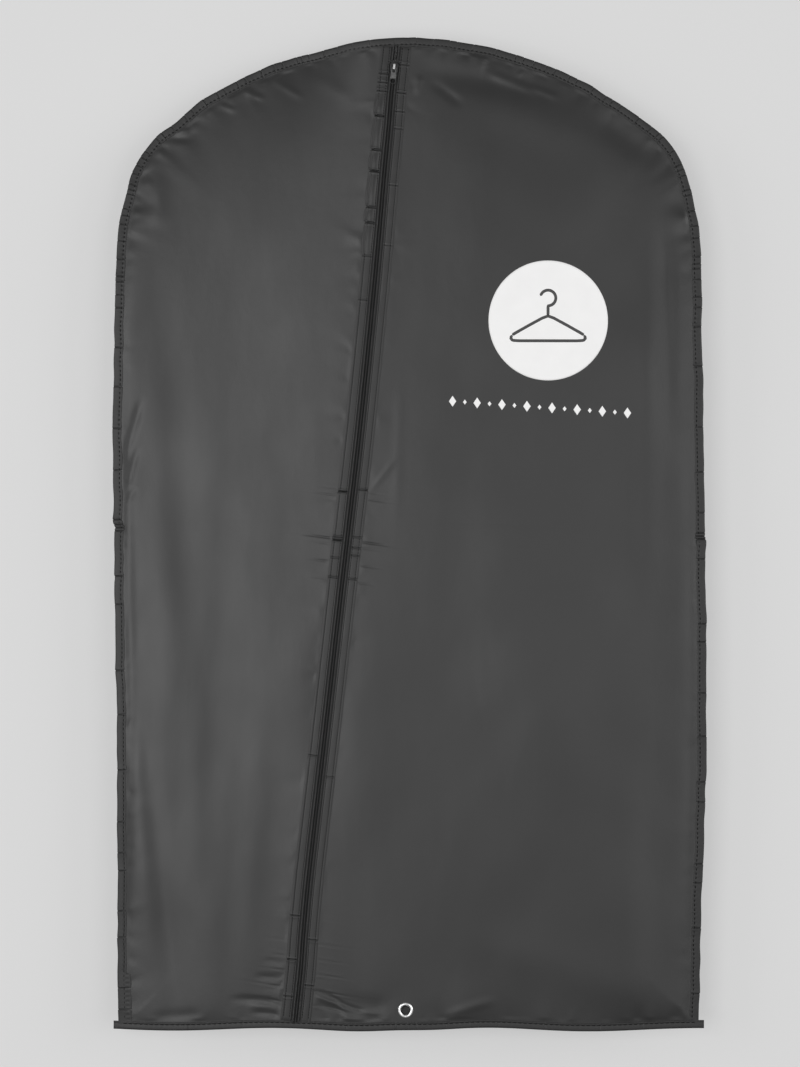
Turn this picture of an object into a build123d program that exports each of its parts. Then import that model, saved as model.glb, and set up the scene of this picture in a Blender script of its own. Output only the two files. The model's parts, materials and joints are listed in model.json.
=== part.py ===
from build123d import *
import os
from math import atan2, degrees, hypot

# A hanging suit bag in film: two flat front panels, one dished back panel, an edge binding
# all round, a slanting coil zip in the front, a hanger opening at the neck and a grommet.
# Millimetres. +Z is up, the front faces -Y, and +X is to the right of a person facing it.
# The origin is the middle of the hanger opening, level with the top edge.

# Outline, from the top centre down one side: crown, shoulder and flank arcs, then the side
bag_height = 1016.0
bottom_width = 594.0
crown_radius = 390.0
crown_sweep = 41.0
shoulder_radius = 103.0
shoulder_sweep = 32.0
flank_radius = 300.0
flank_sweep = 16.0

# Sheet goods
film = 0.6
binding_tape = 0.6
binding_width = 9.0
binding_web = 0.8
bottom_binding_height = 8.0
bottom_binding_overhang = 6.0
seam_inset = 1.0
tape_join_x = -12.0

# Back panel: flat rim in the binding, sloped border, flat back
front_y = -6.0
rim_y = front_y + film
rim_width = 10.0
border_width = 30.0
bag_depth = 25.0
notch_width = 44.0
notch_depth = 22.0
notch_corner = 10.0
neck_binding_width = 8.0

# Zip: a straight line across the front panel, then half-widths from that line
zip_top_x = -11.5
zip_bottom_x = -116.5
zip_run = 1014.0
zip_gap = 0.7
coil_outer = 2.9
coil_thickness = 2.2
facing_inner = 4.8
facing_outer = 15.0
facing_thickness = 0.7
panel_inner = 8.0
zip_tape_outer = 14.0
zip_tape_thickness = 0.5
zip_end_clearance = 1.2
facing_end_clearance = 0.1

# Slider and pull, measured down the zip from the top edge
bartack_at = 24.4
bartack_width = 13.0
bartack_length = 1.4
bartack_thickness = 0.6
slider_at = 25.5
slider_length = 10.0
slider_nose_width = 8.8
slider_tail_width = 8.0
slider_shoulder = 2.0
slider_corner = 0.8
slider_channel = 6.4
slider_clearance = 0.3
wing_thickness = 1.0
wing_edge_radius = 0.33
divider_width = 0.7
divider_length = 3.0
bridge_at = 27.2
bridge_length = 6.0
bridge_height = 2.5
bridge_wall = 1.1
bridge_width = 2.0
bridge_corner = 1.0
pivot_at = 31.3
pivot_clearance = 0.75
pull_thickness = 0.9
pull_neck_width = 4.8
pull_neck_length = 6.0
pull_neck_corner = 0.6
pull_bar_radius = 0.45
pull_window_width = 3.0
pull_window_end = 4.7
pull_ring_radius = 3.1
pull_hole_radius = 2.35
pull_hole_at = 13.6
pull_edge_chamfer = 0.15

# Grommet, near the bottom edge
grommet_x = -3.0
grommet_z = 20.5 - bag_height
grommet_bore = 4.9
grommet_wall = 0.5
grommet_flange = 7.95
grommet_dome = 1.3
grommet_throat = 0.6
washer_thickness = 0.5
clinch_radius = 6.4
clinch_thickness = 0.4
grommet_clearance = 0.1

# Heights in front of the front panel's face
reach = 60.0
coil_front = coil_thickness - film
wing_front = coil_front + slider_clearance
wing_top = wing_front + wing_thickness
wing_back = -film - zip_tape_thickness - slider_clearance
pivot_height = wing_top + pivot_clearance

zip_slant = degrees(atan2(zip_top_x - zip_bottom_x, zip_run))
zip_length = hypot(zip_top_x - zip_bottom_x, zip_run)
sides = ((-1, "left"), (1, "right"))

# Across the zip is local X, up the zip is local Y, out of the front is local Z
zip_plane = Plane(Plane.XZ.offset(-front_y).location * Location((zip_top_x, 0, 0), (0, 0, -zip_slant)))
# Up the zip is local X, out of the front is local Y
zip_side_plane = Plane(zip_plane.origin, x_dir=zip_plane.y_dir, z_dir=zip_plane.x_dir)

os.makedirs("parts", exist_ok=True)


def at_y(y):
    """The front view's plane at depth y: local X is +X, local Y is +Z, and it faces -Y."""
    return Plane.XZ.offset(-y)


def dished_shell(y, thickness, rim_inset):
    """A dished sheet of the back panel's shape, its rim's front face at y."""
    with BuildPart() as shell:
        with BuildSketch(at_y(y)):
            offset(outline.face(), amount=-rim_inset, mode=Mode.ADD)
        extrude(amount=-thickness)
        with BuildSketch(at_y(y + thickness)):
            offset(outline.face(), amount=-rim_width, mode=Mode.ADD)
        with BuildSketch(at_y(y + thickness + bag_depth)):
            offset(outline.face(), amount=-rim_width - border_width, mode=Mode.ADD)
        loft(ruled=True)
        with BuildSketch(at_y(y)):
            offset(outline.face(), amount=-rim_width, mode=Mode.ADD)
        with BuildSketch(at_y(y + bag_depth)):
            offset(outline.face(), amount=-rim_width - border_width, mode=Mode.ADD)
        loft(ruled=True, mode=Mode.SUBTRACT)
    return shell.part


def zip_strip(near, far, back, thickness, end_inset):
    """A strip along the zip, near to far across it, ended inside the edge binding."""
    with BuildPart() as strip:
        with BuildSketch(zip_plane.offset(back)):
            with Locations(((near + far) / 2, -zip_length / 2)):
                Rectangle(abs(far - near), zip_length + reach)
        extrude(amount=thickness)
        with BuildSketch(at_y(front_y - reach / 2)):
            offset(outline.face(), amount=-end_inset, mode=Mode.ADD)
        extrude(amount=-reach, mode=Mode.INTERSECT)
    return strip.part


# The bag's outline, shared by every sheet
with BuildSketch() as outline:
    with BuildLine():
        crown = JernArc((0, 0), (1, 0), crown_radius, -crown_sweep)
        shoulder = JernArc(crown @ 1, crown % 1, shoulder_radius, -shoulder_sweep)
        flank = JernArc(shoulder @ 1, shoulder % 1, flank_radius, -flank_sweep)
        side = TangentArc(flank @ 1, (bottom_width / 2, -bag_height), tangent=flank % 1)
        mirror(about=Plane.YZ)
        Line((-bottom_width / 2, -bag_height), (bottom_width / 2, -bag_height))
    make_face()

# Front panels, one each side of the zip; the right one is punched for the grommet
for hand, word in sides:
    with BuildPart() as front_panel:
        with BuildSketch(at_y(front_y)):
            offset(outline.face(), amount=-seam_inset, mode=Mode.ADD)
            with Locations((grommet_x, grommet_z)):
                Circle(grommet_bore + grommet_wall + grommet_clearance, mode=Mode.SUBTRACT)
        extrude(amount=-film)
        with BuildSketch(zip_plane.offset(-film)):
            with Locations((hand * (panel_inner + bag_height / 2), -zip_length / 2)):
                Rectangle(bag_height, zip_length + reach)
        extrude(amount=film, mode=Mode.INTERSECT)
    front_panel.part.label = f"front_panel_{word}"
    export_step(front_panel.part, f"parts/front_panel_{word}.step")

# Back panel, cut away at the neck so that the hanger's hook comes out behind the front
with BuildPart() as back_panel:
    add(dished_shell(rim_y, film, seam_inset))
    with BuildSketch(at_y(rim_y - reach / 2)):
        RectangleRounded(notch_width, 2 * notch_depth, notch_corner)
    extrude(amount=-reach, mode=Mode.SUBTRACT)
back_panel.part.label = "back_panel"
export_step(back_panel.part, "parts/back_panel.step")

# Neck binding, sewn to the outside of the back panel round the cut-away
with BuildPart() as neck_binding:
    add(dished_shell(rim_y + film, binding_tape, rim_width))
    with BuildSketch(at_y(rim_y - reach / 2)):
        RectangleRounded(
            notch_width + 2 * neck_binding_width,
            2 * (notch_depth + neck_binding_width),
            notch_corner + neck_binding_width,
        )
        RectangleRounded(notch_width, 2 * notch_depth, notch_corner, mode=Mode.SUBTRACT)
    extrude(amount=-reach, mode=Mode.INTERSECT)
neck_binding.part.label = "neck_binding"
export_step(neck_binding.part, "parts/neck_binding.step")

# Edge binding, a U of tape over the edges, in two lengths that meet at the crown
for hand, word in sides:
    with BuildPart() as edge_binding:
        with BuildSketch(at_y(front_y - binding_tape)):
            add(outline.face())
            offset(outline.face(), amount=-binding_width, mode=Mode.SUBTRACT)
        extrude(amount=-2 * (film + binding_tape))
        with BuildSketch(at_y(front_y)):
            offset(outline.face(), amount=-binding_web, mode=Mode.ADD)
        extrude(amount=-2 * film, mode=Mode.SUBTRACT)
        with BuildSketch(at_y(front_y - reach / 2)):
            with Locations((tape_join_x + hand * bag_height / 2, bottom_binding_height - bag_height / 2)):
                Rectangle(bag_height, bag_height)
        extrude(amount=-reach, mode=Mode.INTERSECT)
    edge_binding.part.label = f"edge_binding_{word}"
    export_step(edge_binding.part, f"parts/edge_binding_{word}.step")

# Bottom binding, a straight U whose cut ends stand past both corners
with BuildPart() as bottom_binding:
    with BuildSketch(at_y(front_y - binding_tape)):
        with Locations((0, bottom_binding_height / 2 - bag_height)):
            Rectangle(bottom_width + 2 * bottom_binding_overhang, bottom_binding_height)
    extrude(amount=-2 * (film + binding_tape))
    with BuildSketch(at_y(front_y)):
        with Locations((0, binding_web + bottom_binding_height / 2 - bag_height)):
            Rectangle(bottom_width + 2 * bottom_binding_overhang, bottom_binding_height)
    extrude(amount=-2 * film, mode=Mode.SUBTRACT)
bottom_binding.part.label = "bottom_binding"
export_step(bottom_binding.part, "parts/bottom_binding.step")

# Zip facings on the front panels, tapes behind them, and the coil on each tape's edge
for hand, word in sides:
    facing_end = binding_width + facing_end_clearance
    with BuildPart() as zip_facing:
        add(zip_strip(hand * facing_inner, hand * facing_outer, 0, facing_thickness, facing_end))
    zip_facing.part.label = f"zip_facing_{word}"
    export_step(zip_facing.part, f"parts/zip_facing_{word}.step")

    tape_back = -film - zip_tape_thickness
    tape_end = rim_width + zip_end_clearance
    with BuildPart() as zip_tape:
        add(zip_strip(hand * zip_gap, hand * zip_tape_outer, tape_back, zip_tape_thickness, tape_end))
    zip_tape.part.label = f"zip_tape_{word}"
    export_step(zip_tape.part, f"parts/zip_tape_{word}.step")

    with BuildPart() as zip_coil:
        add(zip_strip(hand * zip_gap, hand * coil_outer, -film, coil_thickness, tape_end))
    zip_coil.part.label = f"zip_coil_{word}"
    export_step(zip_coil.part, f"parts/zip_coil_{word}.step")

# Bartack, the dense bar of thread that stops the slider at the top
with BuildPart() as zip_top_bartack:
    with BuildSketch(zip_plane.offset(facing_thickness)):
        with Locations((0, -bartack_at)):
            SlotOverall(bartack_width, bartack_length)
    extrude(amount=coil_front - facing_thickness + bartack_thickness)
    with BuildSketch(zip_plane.offset(facing_thickness)):
        with Locations((0, -bartack_at)):
            Rectangle(2 * coil_outer, 2 * bartack_length)
    extrude(amount=coil_front - facing_thickness, mode=Mode.SUBTRACT)
    for hand in (-1, 1):
        with BuildSketch(zip_plane.offset(facing_thickness + bartack_thickness)):
            with Locations((hand * (coil_outer + bartack_thickness + bartack_width / 2), -bartack_at)):
                Rectangle(bartack_width, 2 * bartack_length)
        extrude(amount=coil_thickness, mode=Mode.SUBTRACT)
zip_top_bartack.part.label = "zip_top_bartack"
export_step(zip_top_bartack.part, "parts/zip_top_bartack.step")

# Slider body: two wings joined by the divider, with flanges beside the coil and a bridge on top
with BuildSketch() as wing:
    with BuildLine():
        Polyline(
            (-slider_nose_width / 2, -slider_at - slider_shoulder),
            (-slider_nose_width / 4, -slider_at),
            (slider_nose_width / 4, -slider_at),
            (slider_nose_width / 2, -slider_at - slider_shoulder),
            (slider_tail_width / 2, -slider_at - slider_length),
            (-slider_tail_width / 2, -slider_at - slider_length),
            close=True,
        )
    make_face()
    fillet(wing.vertices(), slider_corner)

with BuildPart() as zip_slider_body:
    with BuildSketch(zip_plane.offset(wing_front)):
        add(wing.face())
    extrude(amount=wing_thickness)
    wing_edges = zip_slider_body.faces().sort_by(Axis.Y)[0].edges()
    fillet(wing_edges, wing_edge_radius)
    with BuildSketch(zip_plane.offset(wing_back)):
        add(wing.face())
    extrude(amount=-wing_thickness)
    with BuildSketch(zip_plane.offset(slider_clearance - film)):
        add(wing.face())
        with Locations((0, -slider_at - slider_length / 2)):
            Rectangle(slider_channel, 2 * slider_length, mode=Mode.SUBTRACT)
    extrude(amount=wing_front - slider_clearance + film)
    with BuildSketch(zip_plane.offset(wing_back)):
        with Locations((0, -slider_at - divider_length / 2)):
            Rectangle(divider_width, divider_length)
    extrude(amount=wing_front - wing_back)
    with BuildSketch(zip_side_plane):
        with Locations((-bridge_at - bridge_length / 2, wing_top + bridge_height / 2)):
            bridge = Rectangle(bridge_length, bridge_height)
        fillet(bridge.vertices().group_by(Axis.Y)[-1], bridge_corner)
        with Locations((-bridge_at - bridge_length / 2, wing_top + (bridge_height - bridge_wall) / 2)):
            Rectangle(bridge_length - 2 * bridge_wall, bridge_height - bridge_wall, mode=Mode.SUBTRACT)
    extrude(amount=bridge_width / 2, both=True)
zip_slider_body.part.label = "zip_slider_body"
export_step(zip_slider_body.part, "parts/zip_slider_body.step")

# Pull tab: a window round the bridge, widening to a ring. Its round top bar turns in the bridge
with BuildPart() as zip_pull_tab:
    with BuildSketch(zip_plane.offset(pivot_height - pull_thickness / 2)):
        with Locations((0, -pivot_at - pull_hole_at)):
            Circle(pull_ring_radius)
        with Locations((0, -pivot_at + pull_bar_radius - pull_neck_length / 2)):
            RectangleRounded(pull_neck_width, pull_neck_length, pull_neck_corner)
        make_hull()
        with Locations((0, -pivot_at - pull_window_end / 2 + pull_bar_radius)):
            Rectangle(pull_window_width, pull_window_end + 2 * pull_bar_radius, mode=Mode.SUBTRACT)
        with Locations((0, -pivot_at - pull_hole_at)):
            Circle(pull_hole_radius, mode=Mode.SUBTRACT)
    extrude(amount=pull_thickness)
    chamfer(zip_pull_tab.faces().sort_by(Axis.Y)[0].edges(), pull_edge_chamfer)
    with BuildSketch(zip_side_plane):
        with Locations((-pivot_at, pivot_height)):
            Circle(pull_bar_radius)
    extrude(amount=pull_window_width / 2 + pull_bar_radius, both=True)
zip_pull_tab.part.label = "zip_pull_tab"
export_step(zip_pull_tab.part, "parts/zip_pull_tab.step")

# Grommet: an eyelet pressed through the right front panel and clinched over a washer
grommet_plane = Plane((grommet_x, front_y, grommet_z), x_dir=(1, 0, 0), z_dir=(0, 0, 1))
grommet_axis = Axis((grommet_x, front_y, grommet_z), (0, 1, 0))
clinch_back = film + washer_thickness + clinch_thickness

with BuildPart() as grommet_eyelet:
    with BuildSketch(grommet_plane):
        with BuildLine():
            ThreePointArc(
                (grommet_bore, -grommet_throat),
                ((grommet_bore + grommet_flange) / 2, -grommet_dome),
                (grommet_flange, 0),
            )
            Polyline(
                (grommet_flange, 0),
                (grommet_bore + grommet_wall, 0),
                (grommet_bore + grommet_wall, film + washer_thickness),
                (clinch_radius, film + washer_thickness),
                (clinch_radius, clinch_back),
                (grommet_bore, clinch_back),
                (grommet_bore, -grommet_throat),
            )
        make_face()
    revolve(axis=grommet_axis)
grommet_eyelet.part.label = "grommet_eyelet"
export_step(grommet_eyelet.part, "parts/grommet_eyelet.step")

with BuildPart() as grommet_washer:
    with BuildSketch(at_y(front_y + film)):
        with Locations((grommet_x, grommet_z)):
            Circle(grommet_flange)
            Circle(grommet_bore + grommet_wall + grommet_clearance, mode=Mode.SUBTRACT)
    extrude(amount=-washer_thickness)
grommet_washer.part.label = "grommet_washer"
export_step(grommet_washer.part, "parts/grommet_washer.step")
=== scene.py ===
import bpy
import json
import math
import numpy as np
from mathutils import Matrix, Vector, kdtree
from mathutils.bvhtree import BVHTree


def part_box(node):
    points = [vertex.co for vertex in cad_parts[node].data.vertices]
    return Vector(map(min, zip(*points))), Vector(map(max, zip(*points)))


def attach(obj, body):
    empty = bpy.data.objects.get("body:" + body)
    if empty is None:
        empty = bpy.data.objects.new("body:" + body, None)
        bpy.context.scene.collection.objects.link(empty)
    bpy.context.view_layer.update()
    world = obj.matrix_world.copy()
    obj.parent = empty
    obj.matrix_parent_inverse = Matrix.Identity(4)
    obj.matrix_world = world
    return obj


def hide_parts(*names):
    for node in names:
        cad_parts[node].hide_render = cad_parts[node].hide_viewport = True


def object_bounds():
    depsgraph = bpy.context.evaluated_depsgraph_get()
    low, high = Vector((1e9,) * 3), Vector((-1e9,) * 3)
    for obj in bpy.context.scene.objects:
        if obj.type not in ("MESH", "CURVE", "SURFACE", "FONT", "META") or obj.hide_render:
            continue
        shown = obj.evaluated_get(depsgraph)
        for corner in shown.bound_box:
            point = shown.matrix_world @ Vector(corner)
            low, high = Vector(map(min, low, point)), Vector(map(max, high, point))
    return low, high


# A hanging suit bag of dark film. Lengths are millimetres until a mesh is made, which is in
# metres. A place is (x, z) in the front view, and "front" is how far a point stands out towards
# the viewer, along -Y. Along the zip, "across" is square to it and "down" runs from its top.
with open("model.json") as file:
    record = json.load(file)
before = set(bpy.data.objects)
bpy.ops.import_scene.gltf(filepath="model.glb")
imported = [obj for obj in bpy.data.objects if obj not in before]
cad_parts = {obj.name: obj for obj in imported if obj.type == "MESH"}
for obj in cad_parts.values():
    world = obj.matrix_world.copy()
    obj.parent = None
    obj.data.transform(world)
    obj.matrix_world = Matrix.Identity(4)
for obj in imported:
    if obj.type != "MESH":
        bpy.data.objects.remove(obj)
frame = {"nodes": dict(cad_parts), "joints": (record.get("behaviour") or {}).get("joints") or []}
cad_low, cad_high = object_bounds()
MM = 0.001
rng = np.random.default_rng(11)

# ---- The outline, the zip and the grommet, as the CAD has them ----
BAG_HEIGHT = -cad_low.z / MM
CROWN, SHOULDER, FLANK = (390.0, 41.0), (103.0, 32.0), (300.0, 16.0)  # radius, sweep
BOTTOM_HALF = 297.0
BINDING_WIDTH = 9.0
BINDING_JOIN = -12.0
BOTTOM_BINDING = 8.0
OVERHANG = 6.0
SEAM_INSET = 1.0
ZIP_TOP, ZIP_BOTTOM, ZIP_RUN = -11.5, -116.5, 1014.0
ZIP_LENGTH = math.hypot(ZIP_TOP - ZIP_BOTTOM, ZIP_RUN)
ZIP_SIN, ZIP_COS = (ZIP_TOP - ZIP_BOTTOM) / ZIP_LENGTH, ZIP_RUN / ZIP_LENGTH
ZIP_FRONT = 6.0
SEAM_FRONT = 5.4
PANEL_IN, FACING_IN, FACING_OUT = 8.0, 4.9, 15.4
TAPE_IN, TAPE_OUT, TAPE_HEIGHT = 0.8, 14.0, -0.65
BARTACK_DOWN, BARTACK_HALF, BARTACK_PASSES = 24.4, 6.5, 15
SLIDER_TRAVEL = frame["joints"][0]["range_m"][1] / MM
NECK_HALF, NECK_DEPTH, NECK_CORNER, NECK_BINDING = 22.0, 22.0, 10.0, 8.0
GROMMET_X, _, GROMMET_Z = (
    (low + high) / 2 / MM for low, high in zip(*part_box("grommet_eyelet")))
GROMMET_HOLE = 5.45
FILM_THICKNESS, TAPE_THICKNESS = 0.35, 0.42
SIDES = {-1: "left", 1: "right"}


def smooth(low, high, value):
    """0 below low, 1 above high, and an S-curve between them. Low may be the larger."""
    s = np.clip((value - low) / (high - low), 0, 1)
    return s * s * (3 - 2 * s)


def bell(off, width):
    return np.exp(-(off / width) ** 2)


def grows(distance, reach):
    """0 at no distance, and close to 1 a few reaches away."""
    return 1 - np.exp(-distance / reach)


def smooth_line(at, knots):
    """A smooth curve through knots, read at some places."""
    knot_at, value = knots.T
    slope = np.gradient(value, knot_at)
    k = np.clip(np.searchsorted(knot_at, at) - 1, 0, len(knot_at) - 2)
    gap = knot_at[k + 1] - knot_at[k]
    t = np.clip((at - knot_at[k]) / gap, 0, 1)
    return ((2 * t ** 3 - 3 * t ** 2 + 1) * value[k] + (t ** 3 - 2 * t ** 2 + t) * gap * slope[k]
            + (3 * t ** 2 - 2 * t ** 3) * value[k + 1] + (t ** 3 - t ** 2) * gap * slope[k + 1])


def arc(at, heading, radius, turn):
    """Points on an arc that starts at a place and bends to the right."""
    return at + radius * np.stack([np.sin(heading + turn) - math.sin(heading),
                                   np.cos(heading + turn) - math.cos(heading)], 1)


def half_outline():
    """Points down the right side, from the top centre to the bottom corner, about 1 mm apart."""
    at, heading, points = np.zeros(2), 0.0, [np.zeros((1, 2))]
    for radius, sweep in (CROWN, SHOULDER, FLANK):
        sweep = math.radians(sweep)
        points.append(arc(at, heading, radius, np.linspace(0, sweep, int(radius * sweep))[1:]))
        heading, at = heading + sweep, points[-1][-1]
    chord = np.array([BOTTOM_HALF, -BAG_HEIGHT]) - at
    sweep = 2 * (math.atan2(-chord[1], chord[0]) - heading)
    radius = np.hypot(*chord) / 2 / math.sin(sweep / 2)
    points.append(arc(at, heading, radius, np.linspace(0, sweep, int(np.hypot(*chord)))[1:]))
    return np.concatenate(points)


class Path:
    """A line of places that can be read at any distance along it."""

    def __init__(self, points, closed=False):
        self.points = np.asarray(points, float)
        steps = np.hypot(*np.diff(self.points, axis=0).T)
        self.at = np.concatenate([[0], np.cumsum(steps)])
        self.length = self.at[-1]
        self.closed = closed

    def __call__(self, distance):
        if self.closed:
            distance = np.mod(distance, self.length)
        return np.stack([np.interp(distance, self.at, self.points[:, k]) for k in (0, 1)], -1)

    def inward(self, distance):
        """The unit vector square to the line, to its right."""
        ahead = self(np.asarray(distance) + 0.8) - self(np.asarray(distance) - 0.8)
        ahead /= np.maximum(np.hypot(ahead[..., 0], ahead[..., 1])[..., None], 1e-9)
        return np.stack([ahead[..., 1], -ahead[..., 0]], -1)

    def beside(self, distance, away):
        """The x and the z of places to the right of the line, or to its left if away is negative."""
        return np.moveaxis(self(distance) + self.inward(distance) * away[..., None], -1, 0)


right_side = half_outline()
bottom_edge = np.stack([np.linspace(BOTTOM_HALF, -BOTTOM_HALF, 595), np.full(595, -BAG_HEIGHT)], 1)
left_side = (right_side * (-1, 1))[::-1]
rim = Path(np.concatenate([right_side, bottom_edge[1:-1], left_side]), closed=True)
RIGHT_END = Path(right_side).length
LEFT_START = RIGHT_END + 2 * BOTTOM_HALF
rim_tree = kdtree.KDTree(len(rim.points))
for index, point in enumerate(rim.points):
    rim_tree.insert((point[0], point[1], 0), index)
rim_tree.balance()


def from_rim(x, z):
    """How far inside the outline each place is, and how far round it its nearest point is."""
    found = [rim_tree.find((a, b, 0)) for a, b in zip(np.ravel(x), np.ravel(z))]
    inside = np.array([f[2] for f in found]).reshape(np.shape(x))
    return inside, rim.at[np.array([f[1] for f in found])].reshape(np.shape(x))


def from_zip(x, z):
    """How far across the zip, and how far down it, each place is."""
    return (x - ZIP_TOP) * ZIP_COS - z * ZIP_SIN, -(x - ZIP_TOP) * ZIP_SIN - z * ZIP_COS


def zip_place(across, down):
    return ZIP_TOP - ZIP_SIN * down + ZIP_COS * across, -ZIP_COS * down - ZIP_SIN * across


def around_at(x, z):
    return float(from_rim(np.array([x]), np.array([z]))[1][0])


# Dents in the outline: the place, how far it reaches along the edge, and how far in it goes
DENTS = (
    ((-245, -79), 14, 1.7), ((-270, -112), 12, 0.9), ((-216, -60), 12, -0.8), ((-292, -170), 14, 0.8),
    ((-302, -501), 3, 1.1), ((-302, -493), 5, -0.8), ((-302, -553), 3, 0.6), ((-301, -240), 16, -0.7),
    ((302, -510), 3, 0.9), ((302, -518), 7, -0.9), ((290, -160), 18, 0.8), ((262, -104), 16, -0.7),
    ((160, -33), 20, 0.7), ((-90, -10.5), 20, 0.8), ((-140, -26), 16, -0.7), ((302, -300), 26, 0.6),
    ((303, -760), 40, -0.8), ((-302, -400), 100, -1.6), ((300, -900), 40, 0.6),
    ((-299, -860), 40, 0.5), ((-170, -36), 32, -1.0), ((-220, -62), 20, -0.6), ((212, -58), 24, 0.7),
    ((-297, -985), 30, -1.0), ((-301, -600), 60, -0.9),
)
dents = [(around_at(*at), reach, depth) for at, reach, depth in DENTS]
EDGE_RIPPLE = np.stack([rng.uniform(24, 130, 16), rng.uniform(0, 2 * np.pi, 16)], 1)


def dent(around):
    """How far in from the true outline the bag's edge is."""
    around = np.mod(around, rim.length)
    depth = sum(0.09 * np.sin(2 * np.pi * around / length + phase) for length, phase in EDGE_RIPPLE)
    for at, reach, deep in dents:
        depth = depth + deep * bell(around - at, reach)
    return depth


# ---- How the bag hangs ----
# How far the zip is off its line, as (down, to the right): nothing where the slider comes to rest
ZIP_SWAY = np.array((
    (0, 0.0), (50, 0.0), (55, 0.0), (90, 0.7), (130, 1.0), (200, 2.2), (270, 3.0), (350, 3.3),
    (430, 3.1), (490, 2.3), (560, 1.4), (640, 0.6), (720, -0.2), (800, -1.2), (880, -1.8), (925, -1.1),
    (962, 0.0), (967, 0.0), (1030, 0.0),
))
ZIP_SWAY_REACH = 90
SIDE_SWAY, SIDE_SWAY_Z, SIDE_SWAY_REACH = 3.0, -690, 190
HEM_WAVE, HEM_WAVE_START, HEM_WAVE_LENGTH = 2.4, -31, 222
GROMMET_STILL = 45.0
PACKING_LINE = -497
BACK_DEPTH = 17.0


def place(x, front, z):
    """World points in metres, with the front view's slack added: the zip and sides sway, and
    the hem waves, but the grommet and the slider's two ends stay where the CAD has them."""
    x, z = np.asarray(x, float), np.asarray(z, float)
    across, down = from_zip(x, z)
    dx = smooth_line(down, ZIP_SWAY) * bell(across, ZIP_SWAY_REACH)
    dx = dx + SIDE_SWAY * smooth(60, 260, np.abs(x)) * bell(z - SIDE_SWAY_Z, SIDE_SWAY_REACH)
    still = np.exp(-((x - GROMMET_X) ** 2 + (z - GROMMET_Z) ** 2) / GROMMET_STILL ** 2)
    hem = smooth(110 - 94 * bell(across, 40), 0, z + BAG_HEIGHT) * (1 - still)
    wave = np.cos(2 * np.pi * (x - HEM_WAVE_START) / HEM_WAVE_LENGTH)
    dz = -HEM_WAVE * wave * hem * bell(x, 330)
    return np.stack(np.broadcast_arrays(x + dx, -np.asarray(front), z + dz), -1) * MM


SEAM_BACK = {-1: 7.5, 1: 4.5}
CROWN_BACK = {-1: 15.5, 1: 6.5}


def side_share(x, z):
    """0 at the zip's facings and 1 at the side, and how far beyond the facing each place is."""
    across, _ = from_zip(x, z)
    beside = np.maximum(np.abs(across) - FACING_OUT, 0)
    side = np.interp(-z, -right_side[:, 1], right_side[:, 0])
    return beside / (beside + np.maximum(side - np.abs(x), 0) + 1e-6), beside, across


def seam_front(x, z):
    """How far out the bag's edge would stand at a place: it curls back, away from the zip."""
    share, beside, across = side_share(x, z)
    left = SEAM_BACK[-1] * (0.66 * share + 0.34 * share ** 5)
    right = SEAM_BACK[1] * (0.15 * share + 0.85 * share ** 4)
    crown = np.where(across < 0, CROWN_BACK[-1], CROWN_BACK[1]) * smooth(0, 85, beside)
    side = np.where(across < 0, left, right)
    return SEAM_FRONT - crown * smooth(-330, -60, z) - side * smooth(-40, -380, z)


def random_puckers(*stretches):
    """Puckers along a seam: place, length into the cloth, width, height and lean. Each stretch
    has a count, a start, an end, the shortest and longest lengths and the greatest height."""
    return np.concatenate([np.stack([
        np.sort(rng.uniform(start, end, count)),
        rng.uniform(shortest, longest, count),
        rng.uniform(2.2, 5.5, count),
        rng.uniform(-1.0, 1.0, count) * tallest,
        rng.uniform(-0.5, 0.5, count),
    ], 1) for count, start, end, shortest, longest, tallest in stretches])


def pucker_height(rows, along, away):
    """The height that puckers give the cloth, along a seam and away from it."""
    height = np.zeros(np.shape(along))
    for at, length, width, tall, lean in rows:
        near = np.abs(along - at) < 5 * width + length
        a, w = along[near], away[near]
        spread = width * (1 + 1.2 * w / length)
        height[near] += tall * np.exp(-(((a - at) - lean * w) / spread) ** 2 - w / length) * smooth(0, 4, w)
    return height


def fold_height(x, z, folds):
    """The height of soft folds, each given as its two ends, a half-width and how far it stands out."""
    height = np.zeros(np.shape(x))
    for x0, z0, x1, z1, width, tall in folds:
        length = math.hypot(x1 - x0, z1 - z0)
        along = ((x - x0) * (x1 - x0) + (z - z0) * (z1 - z0)) / length ** 2
        off = ((x - x0) * (z1 - z0) - (z - z0) * (x1 - x0)) / length
        height += tall * bell(off, width) * smooth(-0.25, 0.3, along) * (1 - smooth(0.7, 1.25, along))
    return height


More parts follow.
